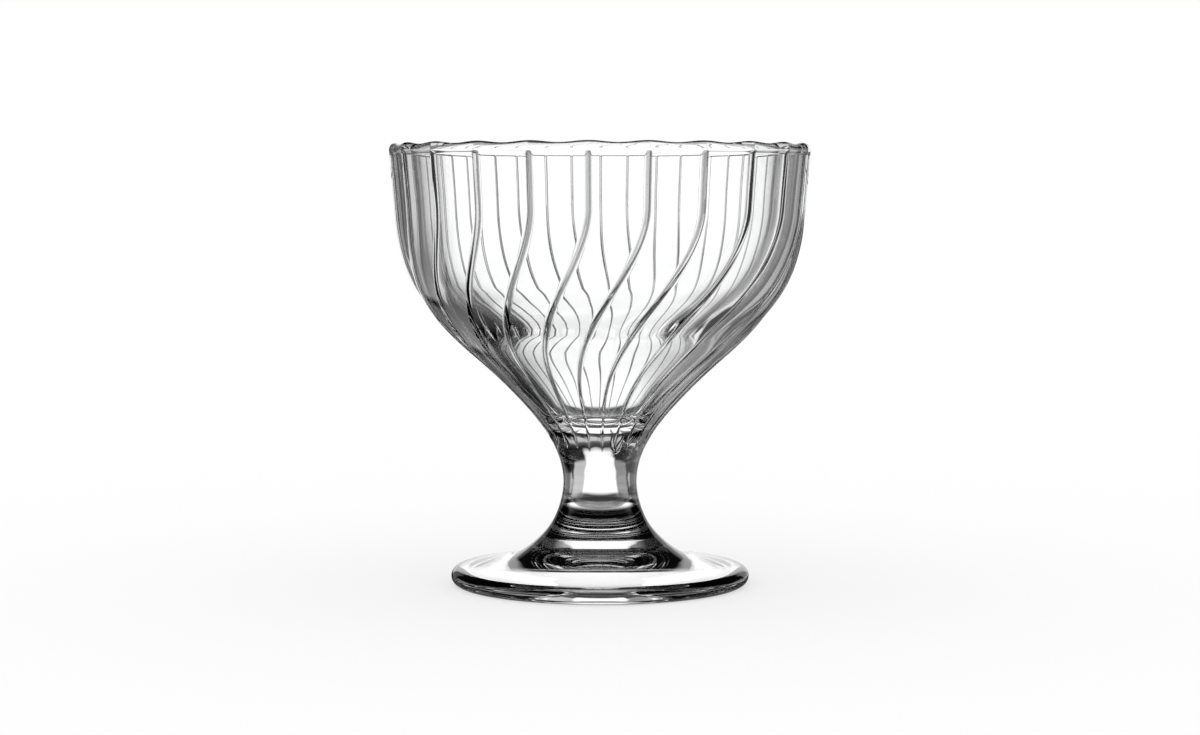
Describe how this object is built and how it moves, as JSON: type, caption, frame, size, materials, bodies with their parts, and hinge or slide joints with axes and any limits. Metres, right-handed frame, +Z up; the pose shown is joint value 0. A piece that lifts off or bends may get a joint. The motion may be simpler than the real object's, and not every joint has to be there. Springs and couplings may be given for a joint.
{
  "type": "footed dessert glass",
  "caption": "Clear glass parfait dish: wide open bowl with swirled ribs, short solid waisted stem and a round flat-standing foot.",
  "frame": {"origin": "middle of the plane that the foot stands on", "axes": "+Z up along the axis of the glass; -Y is the front, where one rib stands 3 degrees to the left of the middle at the lip"},
  "size_m": [0.102, 0.102, 0.107],
  "materials": {
    "bowl_glass": "clear fire-polished glass with swirled ribs",
    "stem_glass": "clear fire-polished glass, solid",
    "foot_glass": "clear fire-polished glass, solid"
  },
  "bodies": {
    "root": {"bowl": "bowl_glass", "stem": "stem_glass", "foot": "foot_glass"}
  },
  "joints": []
}
